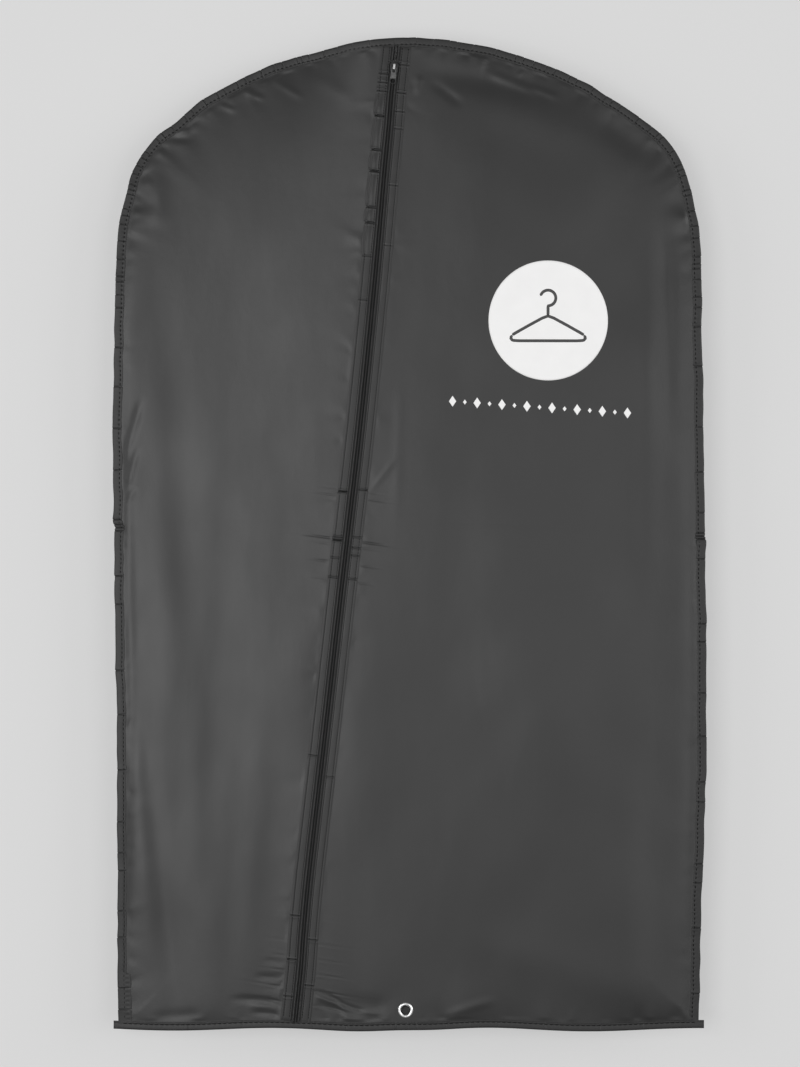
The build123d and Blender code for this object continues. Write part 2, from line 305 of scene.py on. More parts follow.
# The two ends (x0, z0, x1, z1), the half-width, and the height, which is negative inwards
FRONT_FOLDS = (
    (-262, -330, -250, -700, 16, 0.9), (-230, -330, -226, -760, 19, -0.5),
    (-285, -640, -240, -980, 12, -1.4), (-291, -400, -289, -760, 6, -1.8),
    (-240, -560, -200, -1000, 20, 1.2), (-190, -470, -214, -900, 14, -0.4),
    (-150, -660, -170, -1000, 16, 0.5), (-292, -190, -290, -400, 42, 2.4),
    (-288, -660, -280, -900, 42, 2.0), (296, -480, 292, -900, 34, 2.4), (-150, -40, -215, -66, 9, 1.0),
    (-95, -38, -60, -62, 8, 0.4), (20, -34, 140, -52, 13, -2.0), (60, -60, 190, -100, 22, 1.0),
    (190, -78, 250, -118, 14, -2.0), (262, -200, 266, -380, 9, -1.6), (248, -260, 244, -560, 14, 1.1),
    (236, -600, 222, -980, 26, 1.3), (-12, -360, -14, -480, 5, 0.25), (-44, -466, -18, -434, 2.6, 0.8),
    (60, -920, 250, -985, 26, 1.2), (40, -1002, 84, -988, 5, 0.8), (-70, -985, 20, -1000, 9, -1.0),
    (-262, -1004, -215, -1000, 6, -0.9), (-98, -975, -80, -982, 2.6, -0.8),
    (-80, -981, -66, -990, 2.4, -0.9), (-68, -989, -45, -996, 2.6, -0.9),
    (-96, -981, -76, -988, 2.4, 0.8), (-78, -986, -62, -995, 2.2, 0.8),
    (-95, -989, -74, -994, 2.6, -0.7), (-76, -993, -50, -1001, 2.6, -0.8),
    (-50, -996, -30, -999, 2.4, 0.6), (-176, -985, -130, -988, 3.8, -0.9),
    (-158, -1000, -130, -1002, 3.0, -1.0), (-160, -993, -130, -995, 3.0, 0.5),
    (-154, -961, -128, -963, 3.2, -0.6), (-146, -944, -126, -948, 2.6, -0.35),
    (-256, -91, -232, -93, 3.6, 2.2), (-232, -93, -226, -80, 3.2, 1.8),
    (-262, -97, -228, -101, 4.0, -1.4), (-196, -64, -180, -72, 3.0, 0.8),
    (-168, -52, -150, -60, 2.8, 0.7), (-142, -38, -112, -58, 3.6, 0.6),
    (-272, -128, -268, -150, 4.0, 0.8), (84, -36, 128, -53, 5.0, 1.3), (112, -38, 122, -28, 2.2, 0.8),
    (128, -50, 152, -60, 3.6, 0.8), (12, -40, 8, -56, 4.0, 0.8), (26, -46, 52, -66, 5.0, -1.0),
    (-276, -376, -291, -424, 4.0, -1.5), (-280, -424, -290, -460, 3.4, -1.3),
    (-282, -462, -291, -476, 3.0, -1.0), (-288, -140, -272, -120, 6, 1.6),
    (-262, -136, -258, -184, 11, 1.5), (-240, -78, -222, -92, 6, 2.0),
)
BACK_FOLDS = (
    (-180, -90, -200, -620, 34, -2.6), (-60, -120, -40, -800, 40, 2.4),
    (90, -100, 120, -700, 36, -2.4), (210, -180, 190, -860, 26, 2.0),
    (-230, -420, -170, -960, 22, -1.8), (30, -640, 60, -1000, 24, -1.6),
    (-110, -700, -130, -1000, 20, 1.6), (220, -700, 250, -1000, 18, -1.4),
)
# Creases across the zip, where it was folded for packing: down the zip, half-length, depth
PACKING_CREASES = (
    (466, 22, 0.4), (473, 28, 0.5), (517, 40, 0.6), (523, 26, 0.4), (541, 30, 0.5), (559, 30, 0.4),
    (905, 26, 0.25), (931, 34, 0.3), (947, 26, 0.35), (962, 34, 0.3), (979, 40, 0.4), (994, 30, 0.35),
)
rim_puckers = random_puckers(
    (80, 0, 420, 5, 18, 0.9),
    (70, 420, RIGHT_END, 5, 16, 0.35),
    (70, RIGHT_END, LEFT_START, 6, 20, 0.7),
    (90, LEFT_START, rim.length - 420, 5, 16, 0.45),
    (110, rim.length - 420, rim.length, 6, 20, 0.8))
zip_puckers = {
    -1: random_puckers((26, 40, 260, 6, 22, 0.5), (70, 260, 1000, 5, 18, 0.5)),
    1: random_puckers((12, 40, 260, 5, 14, 0.5), (50, 260, 1000, 5, 14, 0.35)),
}
WAVES = np.stack([rng.uniform(45, 240, 36), rng.normal(0, 0.55, 36), rng.uniform(0, 2 * np.pi, 36)], 1)


def slow_waves(x, z):
    """Slow waves in the film, mostly side by side because it hangs."""
    height = np.zeros(np.shape(x))
    for length, turn, phase in WAVES:
        k = 2 * np.pi / length
        height += (length / 240) ** 1.5 * np.sin(k * (x * math.cos(turn) + z * math.sin(turn)) + phase)
    return 0.25 * height


def front_film(x, z):
    """How far out the front film stands."""
    inside, around = from_rim(x, z)
    inside = np.maximum(inside - BINDING_WIDTH, 0)
    share, beside, across = side_share(x, z)
    down = from_zip(x, z)[1]
    slack = 15 + np.where(across < 0, 46, 28) * bell(z, 210)
    edge = np.exp(-inside / slack)
    free = grows(beside, 26) * (1 - edge)
    high_up = smooth(-560, -300, z)
    left = -0.03 * beside - 3.4 * smooth(0, 120, beside) * high_up
    right = 0.8 * grows(beside, 70) - 3.0 * share ** 4
    middle = ZIP_FRONT + np.where(across < 0, left, right)
    front = middle + (seam_front(x, z) + 0.4 - middle) * edge * grows(beside, 14)
    front = front + free * slow_waves(x, z)
    front = front + fold_height(x, z, FRONT_FOLDS) * grows(np.minimum(beside, inside), 8)
    front = front + pucker_height(rim_puckers, around, inside) * grows(beside, 6)
    for hand, rows in zip_puckers.items():
        here = np.where(np.sign(across) == hand, beside, 1e3)
        front = front + pucker_height(rows, down, here) * grows(inside, 8)
    for at, reach, depth in PACKING_CREASES:
        off = down - at - 0.03 * across
        dip = bell(off, 0.75) - 0.45 * bell(np.abs(off) - 2.2, 1.2)
        dip = dip * bell(across, reach)
        front = front - depth * dip * grows(beside, 3) * grows(inside, 8)
    packing_line = PACKING_LINE - 0.016 * x + 1.5 * np.sin(x / 37)
    front = front - 0.14 * np.exp(-np.abs(z - packing_line) / 2.4) * free
    eyelet = 1 - smooth(9, 32, np.hypot(x - GROMMET_X, z - GROMMET_Z))
    return front + (ZIP_FRONT - front) * eyelet


def back_film(x, z):
    """How far out the back film stands, which is negative over most of it."""
    inside, around = from_rim(x, z)
    inside = np.maximum(inside - BINDING_WIDTH, 0)
    free = grows(inside, 20 + 32 * smooth(-BAG_HEIGHT + 90, -BAG_HEIGHT + 10, z))
    seam = seam_front(x, z) - 0.4
    front = seam + (-BACK_DEPTH - seam) * free + fold_height(x, z, BACK_FOLDS) * free
    front = front - 0.9 * free * slow_waves(40 - x, z * 0.9 - 70)
    front = front - pucker_height(rim_puckers, around, inside)
    packing_line = PACKING_LINE + 2.0 * np.sin(x / 61)
    return front + 0.8 * np.exp(-np.abs(z - packing_line) / 2.6) * free


# ---- Mesh helpers ----
def add_object(name, data):
    made = bpy.data.objects.new(name, data)
    bpy.context.scene.collection.objects.link(made)
    return made


def new_piece(name, points, faces, material):
    """A smooth mesh piece of the bag, from world points and lists of faces. The faces
    agree with each other, and are all turned round here if they look inwards."""
    faces = [np.asarray(f) for f in faces]
    volume = sum((points[f[:, 0]] * np.cross(points[f[:, k]], points[f[:, k + 1]])).sum()
                 for f in faces for k in range(1, f.shape[1] - 1))
    if volume < 0:
        faces = [f[:, ::-1] for f in faces]
    used, corners = np.unique(np.concatenate([f.ravel() for f in faces]), return_inverse=True)
    sizes = np.concatenate([np.full(len(f), f.shape[1]) for f in faces])
    mesh = bpy.data.meshes.new(name)
    mesh.vertices.add(len(used))
    mesh.vertices.foreach_set("co", np.asarray(points, np.float32)[used].ravel())
    mesh.loops.add(len(corners))
    mesh.loops.foreach_set("vertex_index", corners.astype(np.int32))
    mesh.polygons.add(len(sizes))
    mesh.polygons.foreach_set("loop_start", (np.cumsum(sizes) - sizes).astype(np.int32))
    mesh.polygons.foreach_set("use_smooth", np.full(len(sizes), True))
    mesh.update(calc_edges=True)
    mesh.validate()
    mesh.materials.append(material)
    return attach(add_object(name, mesh), "bag")


def grid_faces(rows, columns, close_columns=False):
    """Quads over a grid of points, the columns joined end to end where asked."""
    r, c = np.meshgrid(np.arange(rows - 1), np.arange(columns - (not close_columns)), indexing="ij")
    c2 = (c + 1) % columns
    return np.stack([r * columns + c, r * columns + c2, (r + 1) * columns + c2, (r + 1) * columns + c],
                    -1).reshape(-1, 4)


def closed_sheet(name, grid, thickness, material, keep=None):
    """A thin closed sheet whose front face is a grid of world points. keep says which of the
    grid's points are cloth: a face goes only where all of its corners are not."""
    rows, columns = grid.shape[:2]
    normal = np.cross(np.gradient(grid, axis=1), np.gradient(grid, axis=0))
    normal /= np.maximum(np.linalg.norm(normal, axis=-1, keepdims=True), 1e-12)
    normal *= np.sign(normal[..., 1].mean())
    outer = grid_faces(rows, columns)
    if keep is not None:
        outer = outer[keep.ravel()[outer].any(1)]
    count = rows * columns
    points = np.concatenate([grid.reshape(-1, 3), (grid + normal * thickness * MM).reshape(-1, 3)])
    edges = np.stack([outer, np.roll(outer, -1, axis=1)], -1).reshape(-1, 2)
    backwards = set(map(tuple, edges[:, ::-1].tolist()))
    edges = np.array([e for e in edges.tolist() if tuple(e) not in backwards])
    walls = np.stack([edges[:, 1], edges[:, 0], edges[:, 0] + count, edges[:, 1] + count], 1)
    return new_piece(name, points, [outer, outer[:, ::-1] + count, walls], material)


def skin(name, rings, material):
    """A piece from rings of world points, as (lines, steps, ring, 3), each line capped."""
    lines, steps, ring = rings.shape[:3]
    start = (np.arange(lines) * steps * ring)[:, None, None]
    sides = (grid_faces(steps, ring, close_columns=True)[None] + start).reshape(-1, 4)
    ends = np.stack([np.arange(ring)[::-1], (steps - 1) * ring + np.arange(ring)])
    return new_piece(name, rings.reshape(-1, 3), [sides, (ends[None] + start).reshape(-1, ring)], material)


def threads(name, lines, radius, material, ring=6):
    """Round threads along lines of world points, as (lines, steps, 3)."""
    ahead = np.gradient(lines, axis=1)
    ahead /= np.maximum(np.linalg.norm(ahead, axis=-1, keepdims=True), 1e-12)
    side = np.cross(ahead, (0, -1, 0))
    side /= np.maximum(np.linalg.norm(side, axis=-1, keepdims=True), 1e-9)
    out = np.cross(side, ahead)
    turn = np.arange(ring) * 2 * np.pi / ring
    rings = lines[:, :, None] + radius * MM * (
        side[:, :, None] * np.cos(turn)[:, None] + out[:, :, None] * np.sin(turn)[:, None])
    return skin(name, rings, material)


def stand_in(piece, node):
    """Shows a piece in the place of a CAD node, which it hides."""
    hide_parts(node)
    return piece


STITCH_RADIUS = 0.34
STITCH_HEIGHTS = (-0.4, 0.04, 0.14, 0.16, 0.14, 0.04, -0.4)  # of the thread, along each stitch


def stitch_run(starts, length, at):
    """Centre lines of stitches, where at(distance, height) gives world points."""
    distance = starts[:, None] + np.linspace(0, 1, len(STITCH_HEIGHTS)) * length
    return at(distance, np.broadcast_to(STITCH_HEIGHTS, distance.shape))


def sew(name, runs):
    threads(name, np.concatenate(runs), STITCH_RADIUS, seam_thread, ring=5)


# ---- Materials ----
def grey(value, warm=0.0):
    return value * (1 + warm), value, value * (1 - warm), 1


class Shader:
    """A principled material of one grey, with short calls for its nodes. A source is the output
    of a node, or else the size, detail and stretch of a noise."""

    def __init__(self, name, level, roughness, warm=0.0, **sockets):
        self.level, self.warm = level, warm
        self.material = bpy.data.materials.new(name)
        self.material.use_nodes = True
        self.tree = self.material.node_tree
        self.surface = self.tree.nodes["Principled BSDF"]
        self.material.diffuse_color = grey(level, warm)
        self.surface.inputs["Base Color"].default_value = grey(level, warm)
        self.surface.inputs["Roughness"].default_value = roughness
        for socket, value in sockets.items():
            self.surface.inputs[socket.replace("_", " ")].default_value = value
        self.place = self.tree.nodes.new("ShaderNodeTexCoord").outputs["Object"]

    def node(self, kind, values=(), **settings):
        made = self.tree.nodes.new("ShaderNode" + kind)
        for key, value in settings.items():
            setattr(made, key, value)
        for socket, value in dict(values).items():
            if isinstance(value, bpy.types.NodeSocket):
                self.tree.links.new(value, made.inputs[socket])
            else:
                made.inputs[socket].default_value = value
        return made

    def drive(self, socket, source):
        """Feeds one of the surface's sockets from a node."""
        self.tree.links.new(source, self.surface.inputs[socket])
        return self

    def noise(self, size, detail, stretch=(1, 1, 1)):
        """Noise with patches of that size in metres, stretched along the axes."""
        scale = [1 / size / s for s in stretch]
        where = self.node("Mapping", {"Vector": self.place, "Scale": scale})
        values = {"Vector": where.outputs[0], "Scale": 1.0, "Detail": detail}
        return self.node("TexNoise", values).outputs["Fac"]

    def read(self, source):
        return self.noise(*source) if isinstance(source, tuple) else source

    def bands(self, pitch, axis, turn=0.0):
        """Sine bands with that pitch in metres along X, Y or Z."""
        where = self.node("Mapping", {"Vector": self.place, "Rotation": (0, turn, 0)})
        return self.node("TexWave", {"Vector": where.outputs[0], "Scale": 2 * math.pi / pitch / 20},
                         bands_direction=axis).outputs["Fac"]

    def between(self, axis, start, end):
        """How far each place is from one level to another along an axis, from 0 to 1."""
        split = self.node("SeparateXYZ", {0: self.place}).outputs[axis]
        return self.node("MapRange", {"Value": split, "From Min": start, "From Max": end}).outputs[0]

    def to_range(self, source, low, high):
        return self.node("MapRange", {"Value": source, "To Min": low, "To Max": high}).outputs[0]

    def tint(self, source, darkest, lightest):
        """Varies the grey between two shares of its level as the source rises."""
        ramp = self.node("ValToRGB", {"Fac": self.read(source)})
        stops = zip(ramp.color_ramp.elements, (0.3, 0.7), (darkest, lightest))
        for stop, position, share in stops:
            stop.position = position
            stop.color = grey(self.level * share, self.warm)
        return self.drive("Base Color", ramp.outputs[0])

    def roughen(self, source, low, high):
        return self.drive("Roughness", self.to_range(self.read(source), low, high))

    def bump(self, *layers):
        """Bump from (source, height in metres) layers, laid over each other."""
        values = {}
        for source, height in [(self.read(source), height) for source, height in layers]:
            values |= {"Height": source, "Distance": height}
            values["Normal"] = self.node("Bump", values).outputs[0]
        return self.drive("Normal", values["Normal"])


def film_material(name, level, grain=0.00004, roughness=0.41):
    """Embossed film with a soft sheen, faint handling marks and slight tone changes."""
    film = Shader(name, level, roughness, IOR=1.5)
    film.tint((0.11, 4), 0.9, 1.1)
    film.roughen((0.03, 5, (1, 1, 2.2)), roughness - 0.05, roughness + 0.05)
    film.bump(((0.045, 2, (1, 1, 2.6)), 0.0006), ((0.006, 3), 0.00006), ((0.0007, 1), grain))
    return film.material


FILM_LEVEL = 0.022
film = film_material("film", FILM_LEVEL)
back_finish = film_material("back_film", FILM_LEVEL)
facing_film = film_material("facing_film", FILM_LEVEL * 0.6, 0.00006, 0.45)
binding_film = film_material("binding_film", FILM_LEVEL * 0.55, 0.00008, 0.5)
ZIP_TURN = -math.asin(ZIP_SIN)


def woven_material(name, level, pitch):
    weave = Shader(name, level, 0.78, Sheen_Weight=0.25)
    warp, weft = weave.bands(pitch, "X", ZIP_TURN), weave.bands(pitch * 1.3, "Z", ZIP_TURN)
    weave.tint((0.004, 3), 0.8, 1.25)
    return weave.bump((warp, 0.00008), (weft, 0.00008), ((0.0005, 2), 0.00004)).material


def nylon_material(name, level):
    nylon = Shader(name, level, 0.36, IOR=1.53, Specular_IOR_Level=0.3)
    nylon.roughen((0.003, 3), 0.3, 0.5)
    return nylon.bump(((0.0006, 2), 0.00003)).material


def thread_material(name, level, sheen=0.3):
    """Spun thread: fine slanted plies."""
    thread = Shader(name, level, 0.8, Sheen_Weight=sheen, Specular_IOR_Level=sheen)
    thread.tint((0.002, 2), 0.75, 1.3)
    return thread.bump((thread.bands(0.0005, "DIAGONAL"), 0.00005)).material


def metal_material(name, level, roughness, scuffs, metallic=1.0, other=None):
    """Plated or painted metal with fine scratches and duller, rubbed patches. The other is a second grey
    and how metallic it is, and the axis and two levels it comes in between. That band is painted light: a
    bright one is a painted highlight and a dark one is painted shade."""
    metal = Shader(name, level, roughness, Metallic=metallic)
    metal.tint((0.0022, 4), 1 - scuffs, 1)
    if other:
        second, band_metallic, axis, start, end = other
        share = metal.between(axis, start, end)
        first = metal.surface.inputs["Base Color"].links[0].from_socket
        mix = metal.node("Mix", {0: share, 6: first, 7: grey(second)}, data_type="RGBA")
        metal.drive("Base Color", mix.outputs[2])
        metal.drive("Metallic", metal.to_range(share, metallic, band_metallic))
    metal.roughen((0.0016, 5), roughness * 0.7, roughness * 1.5)
    return metal.bump(((0.0009, 3, (1, 1, 6)), 0.00003)).material


# The tape's grey is partly its own dark colour and partly painted shade, lowered for the gap between the
# coil and the facings.
tape_weave = woven_material("zip_tape_weave", 0.018, 0.0007)
coil_nylon = nylon_material("coil_nylon", 0.005)
# A lighter nylon for the turns' heads at the chain's middle: a painted highlight.
coil_head_highlight = nylon_material("coil_head_highlight", 0.045)
seam_thread = thread_material("seam_thread", 0.004, 0.05)
sewing_thread = thread_material("sewing_thread", 0.075)
bar_thread = thread_material("bartack_thread", 0.015)
# Black paint, with a bright metallic band along the bridge's crest that is a painted highlight.
slider_paint_and_highlight = metal_material("slider_paint_and_highlight", 0.012, 0.36, 0.3, metallic=0.0,
                              other=(0.7, 1.0, "Y", -0.0108, -0.0115))
# Nickel, with the lower end ring made dark grey: painted shade for the shadow in and around its hole.
pull_nickel_and_shade = metal_material("pull_nickel_and_shade", 0.2, 0.3, 0.35, other=(0.05, 0.6, "Z", -0.0415, -0.0425))
eyelet_chrome = metal_material("eyelet_chrome", 0.95, 0.3, 0.08)


def print_material(name, level):
    """Printed ink: flat colour, slightly matt, with the film's grain coming through."""
    ink = Shader(name, level, 0.5, warm=0.004)
    ink.tint((0.02, 4), 0.97, 1)
    ink.roughen((0.004, 3), 0.45, 0.6)
    return ink.bump(((0.0007, 2), 0.00005)).material


white_ink = print_material("white_ink", 0.93)
dark_ink = print_material("dark_ink", 0.05)


# ---- Film panels ----
def crowd_ends(count):
    """Even steps from 0 to 1, drawn closer together at both ends."""
    t = np.linspace(0, 1, count)
    return t * 0.55 + 0.45 * (1 - np.cos(np.pi * t)) / 2


def clear_hole(x, z, centre_x, centre_z, radius):
    """Moves places out of a round hole to its edge, and says which were outside it."""
    dx, dz = x - centre_x, z - centre_z
    off = np.hypot(dx, dz)
    keep = off > radius
    push = np.where(keep, 1, radius / np.maximum(off, 1e-6))
    return centre_x + dx * push, centre_z + dz * push, keep


def with_fine_steps(steps, places, reach, step):
    """Adds close steps at each side of some places to a row of steps."""
    close = np.arange(-reach, reach + step / 2, step)
    fine = (np.array(places)[:, None] + close).ravel()
    away = np.abs(steps[:, None] - np.array(places)).min(1) > reach
    merged = np.sort(np.concatenate([steps[away | (steps == steps[0]) | (steps == steps[-1])], fine]))
    return merged[np.concatenate([[True], np.diff(merged) > step / 3])]


def seam_line(around):
    """The x and the z of places where the films' edges lie inside the bindings."""
    return rim.beside(around, SEAM_INSET + dent(around))


def part_way(first, second, share):
    return first * (1 - share) + second * share


def fan(across, around_start, around_end, rows, columns):
    """Places in rows that fan out from a line beside the zip to a stretch of the outline."""
    creases = [at for at, _, _ in PACKING_CREASES]
    s = with_fine_steps(np.linspace(0, ZIP_LENGTH, rows), creases, 4.2, 0.6)[:, None] / ZIP_LENGTH
    t = crowd_ends(columns)[None]
    zip_x, zip_z = zip_place(across, s * ZIP_LENGTH)
    around = around_start + s * (around_end - around_start)
    edge_x, edge_z = seam_line(around)
    return part_way(zip_x, edge_x, t), part_way(zip_z, edge_z, t)


PANEL_ROWS = 560


def front_panel(hand):
    """The film between one side of the zip and the edge on that side, going down."""
    lap, columns = (0, 116) if hand > 0 else (rim.length, 96)
    top = lap + ZIP_TOP + hand * PANEL_IN
    bottom = RIGHT_END + BOTTOM_HALF - (ZIP_BOTTOM + hand * PANEL_IN)
    x, z = fan(hand * PANEL_IN, top, bottom, PANEL_ROWS, columns)
    x, z, keep = clear_hole(x, z, GROMMET_X, GROMMET_Z, GROMMET_HOLE)
    grid = place(x, front_film(x, z), z)
    panel = closed_sheet("front_film_" + SIDES[hand], grid, FILM_THICKNESS, film, keep)
    return stand_in(panel, "front_panel_" + SIDES[hand])


def out_of_neck(x, z):
    """Moves places out of the neck opening to its edge, and says which were outside it."""
    side, down = np.abs(x), -z
    corner_side, corner_down = side - (NECK_HALF - NECK_CORNER), down - (NECK_DEPTH - NECK_CORNER)
    rounded = (corner_side > 0) & (corner_down > 0)
    off = np.hypot(corner_side, corner_down)
    keep = np.where(rounded, off > NECK_CORNER, (side > NECK_HALF) | (down > NECK_DEPTH))
    push = NECK_CORNER / np.maximum(off, 1e-6)
    sideways = corner_side > corner_down
    new_side = np.where(rounded, NECK_HALF - NECK_CORNER + corner_side * push,
                        np.where(sideways, NECK_HALF, side))
    new_down = np.where(rounded, NECK_DEPTH - NECK_CORNER + corner_down * push,
                        np.where(sideways, down, NECK_DEPTH))
    return np.where(keep, x, np.sign(x) * new_side), np.where(keep, z, -new_down), keep


def back_panel():
    """One sheet in rows from the left edge to the right, with the neck opening out of it."""
    around = np.linspace(0, RIGHT_END, 330)[1:, None]
    x, z = part_way(seam_line(rim.length - around), seam_line(around), crowd_ends(150))
    x, z, keep = out_of_neck(x, z)
    panel = closed_sheet("back_film", place(x, back_film(x, z), z), FILM_THICKNESS, back_finish, keep)
    return stand_in(panel, "back_panel")


front_films = {hand: front_panel(hand) for hand in SIDES}
back_sheet = back_panel()


# ---- Zip ----
def zip_world(across, down, height):
    """World points beside the zip; height is how far they stand out from the front film."""
    x, z = zip_place(across, down)
    return place(x, ZIP_FRONT + height, z)


FACING_CREASES = {
    -1: (
        (37, 0.6), (46, 0.5), (55, 0.6), (81, 1.0), (116, 1.0), (138, 1.3), (175, 0.8), (191, 0.8),
        (225, 0.4), (270, 0.4), (468, 1.0), (514, 0.5), (518, 1.0), (536, 0.5), (556, 0.6), (740, 0.5),
        (905, 0.6), (950, 0.7), (988, 0.5),
    ),
    1: (
        (26, 0.5), (55, 0.6), (74, 0.4), (92, 0.4), (150, 0.3), (212, 0.3), (464, 0.7), (513, 0.5),
        (524, 0.5), (532, 0.5), (556, 0.5), (760, 0.4), (928, 0.6), (975, 0.6),
    ),
}
facing_waves = {hand: (rng.uniform(14, 60, 14), rng.uniform(0, 2 * np.pi, 14)) for hand in SIDES}
SCALLOP_MARKS = np.array([20, 37, 55, 81, 116, 138, 175, 191, 225, 270])


FACING_SECTION = np.array((  # across, share of the swelling, resting height
    (15.4, 0.05, 0.2), (15.2, 0.2, 0.34), (14.4, 0.3, 0.38), (13.4, 0.2, 0.38), (13.1, 0.1, 0.34),
    (12.9, 0.0, 0.24), (12.5, 0.0, 0.24), (12.3, 0.2, 0.35), (11.9, 0.5, 0.4), (10.6, 0.9, 0.42),
    (9.4, 1.0, 0.43), (8.2, 0.8, 0.42), (7.2, 0.4, 0.4), (6.8, 0.1, 0.36), (6.6, 0.0, 0.24),
    (6.2, 0.0, 0.24), (6.0, 0.1, 0.34), (5.6, 0.1, 0.36), (5.2, 0.1, 0.34), (4.9, 0.0, 0.16),
))
ZIP_START, ZIP_END = 6.5, 1010 / ZIP_COS


def tuck(down):
    """1 along the zip and 0 at its ends, where it goes under the bindings."""
    return smooth(ZIP_START, ZIP_START + 5, down) * smooth(ZIP_END, ZIP_END - 5, down)


def facing(hand):
    """A folded strip: its fold runs beside the coil and its two edges lie outwards. Near the top
    left it is scalloped between creases."""
    creases = FACING_CREASES[hand]
    down = with_fine_steps(np.arange(ZIP_START, ZIP_END, 1.3), [at for at, _ in creases], 2.8, 0.35)
    lengths, phases = facing_waves[hand]
    ripple = np.sum(np.sin(2 * np.pi * down[:, None] / lengths + phases), 1) / 8
    pinch = np.zeros_like(down)
    for at, depth in creases:
        off = np.abs(down - at)
        pinch += depth * (1.5 * bell(off, 0.7) - 0.5 * bell(off - 1.9, 0.8))
    loose = (smooth(50, 80, down) * (1 - smooth(205, 235, down)) if hand < 0 else 0 * down) + 0.15
    share = np.interp(down, SCALLOP_MARKS, np.arange(len(SCALLOP_MARKS))) % 1
    swell = loose * np.sqrt(np.clip(np.sin(np.pi * share ** 1.4), 0, 1))
    width = 1 + 0.16 * swell - 0.04 * pinch + 0.02 * ripple
    tall = swell + 0.1 * ripple
    top, under = FACING_SECTION, FACING_SECTION[::-1][2:]
    section_across = np.concatenate([top[:, 0], [5.1, 5.6, 15.4, 15.4, 5.9], under[:, 0]])
    section_swell = np.concatenate([top[:, 1], np.zeros(5), under[:, 1]])
    section_rest = np.concatenate([top[:, 2], [0.03, -0.02, 0.0, 0.05, 0.05], under[:, 2] - 0.12])
    height = section_rest + section_swell * tall[:, None] - 0.42 * pinch[:, None] * (section_rest > 0.15)
    out = tuck(down)[:, None]
    height = np.maximum(height, np.minimum(section_rest, 0.05)) * out - 0.1 * (1 - out)
    across = FACING_IN + (section_across - FACING_IN) * width[:, None]
    grid = zip_world(hand * across, down[:, None], height)
    piece = skin("facing_" + SIDES[hand], grid[None] if hand > 0 else grid[None, :, ::-1], facing_film)
    return stand_in(piece, "zip_facing_" + SIDES[hand])


def zip_tape(hand):
    across = np.linspace(TAPE_IN, TAPE_OUT, 12)
    down = np.arange(ZIP_START, ZIP_END, 4)
    grid = zip_world(hand * across[None], down[:, None], TAPE_HEIGHT)
    piece = closed_sheet("tape_" + SIDES[hand], grid, TAPE_THICKNESS, tape_weave)
    return stand_in(piece, "zip_tape_" + SIDES[hand])


# The slider's travel is a whole number of turns, so that it sits the same on the coil at both ends
COIL_PITCH = SLIDER_TRAVEL / 612
COIL_WIRE, COIL_STEPS = 0.33, 12
COIL_IN, COIL_OUT = -0.42, 2.75
COIL_LOW, COIL_HIGH = -0.2, 1.02


def coil(hand):
    """One half of the chain: a monofilament wound into a flat helix, its turns offset by half
    a pitch from the other half's so that they mesh."""
    turns = int((ZIP_END - ZIP_START - 1) / COIL_PITCH)
    turn = np.arange(turns * COIL_STEPS + 1) / COIL_STEPS
    swing = 2 * np.pi * turn
    middle, reach = (COIL_IN + COIL_OUT) / 2, (COIL_OUT - COIL_IN) / 2
    squared = 1 / np.maximum(np.abs(np.cos(swing)), np.abs(np.sin(swing))) ** 0.75
    across = middle - reach * np.clip(np.cos(swing) * squared, -1, 1)
    rise = np.clip(np.sin(swing) * squared, -1, 1)
    height = (COIL_LOW + COIL_HIGH) / 2 + (COIL_HIGH - COIL_LOW) / 2 * rise
    height = height + 0.25 * bell(across, 0.8) * (height > 0)
    down = ZIP_START + (turn + (0.25 if hand > 0 else 0.75)) * COIL_PITCH
    line = zip_world(hand * across, down, height)[None]
    piece = threads("coil_" + SIDES[hand], line, COIL_WIRE, coil_nylon)
    # The heads at the middle of the chain take the lighter nylon, a painted highlight.
    piece.data.materials.append(coil_head_highlight)
    ring = (len(piece.data.polygons) - 2) // (line.shape[1] - 1)
    highlight_faces = np.repeat((np.cos(swing)[:-1] + np.cos(swing)[1:]) / 2 > 0.55, ring)
    piece.data.polygons.foreach_set("material_index", np.append(highlight_faces, (False, False)).astype(np.int32))
    return stand_in(piece, "zip_coil_" + SIDES[hand])


def coil_sewing():
    """The chain stitch that holds each half of the coil to its tape."""
    turns = int((ZIP_END - ZIP_START - 2) / COIL_PITCH)
    turn = np.arange(turns * 4 + 1) / 4
    lines = []
    for hand in SIDES:
        for across in (2.55, 3.1):
            rest = COIL_HIGH + COIL_WIRE if across < COIL_OUT else 0.5
            height = rest + 0.06 + 0.12 * np.cos(2 * np.pi * turn)
            weave = 0.12 * np.sin(np.pi * turn)
            lines.append(zip_world(hand * (across + weave), ZIP_START + 0.5 + turn * COIL_PITCH, height))
    threads("coil_sewing", np.stack(lines), 0.15, sewing_thread, ring=5)


facings = {hand: facing(hand) for hand in SIDES}
tapes = {hand: zip_tape(hand) for hand in SIDES}
for hand in SIDES:
    coil(hand)
coil_sewing()


def bartack():
    """The dense bar of thread that stops the slider at the top."""
    share = np.linspace(-1, 1, 15)
    lines = []
    for k in range(BARTACK_PASSES):
        down = BARTACK_DOWN - 0.75 + 1.5 * k / (BARTACK_PASSES - 1)
        sway = 0.12 * np.sin(7 * share + 1.7 * k)
        height = 0.9 + 1.25 * np.exp(-(share * BARTACK_HALF / 3.4) ** 4) - 1.3 * np.abs(share) ** 14
        lines.append(zip_world(share * BARTACK_HALF, down + sway, height + 0.08 * (k % 2)))
    piece = threads("bartack", np.stack(lines), 0.12, bar_thread)
    stand_in(piece, "zip_top_bartack")


bartack()


FACING_STITCH, FACING_GROOVES = 2.8, (6.4, 12.7)


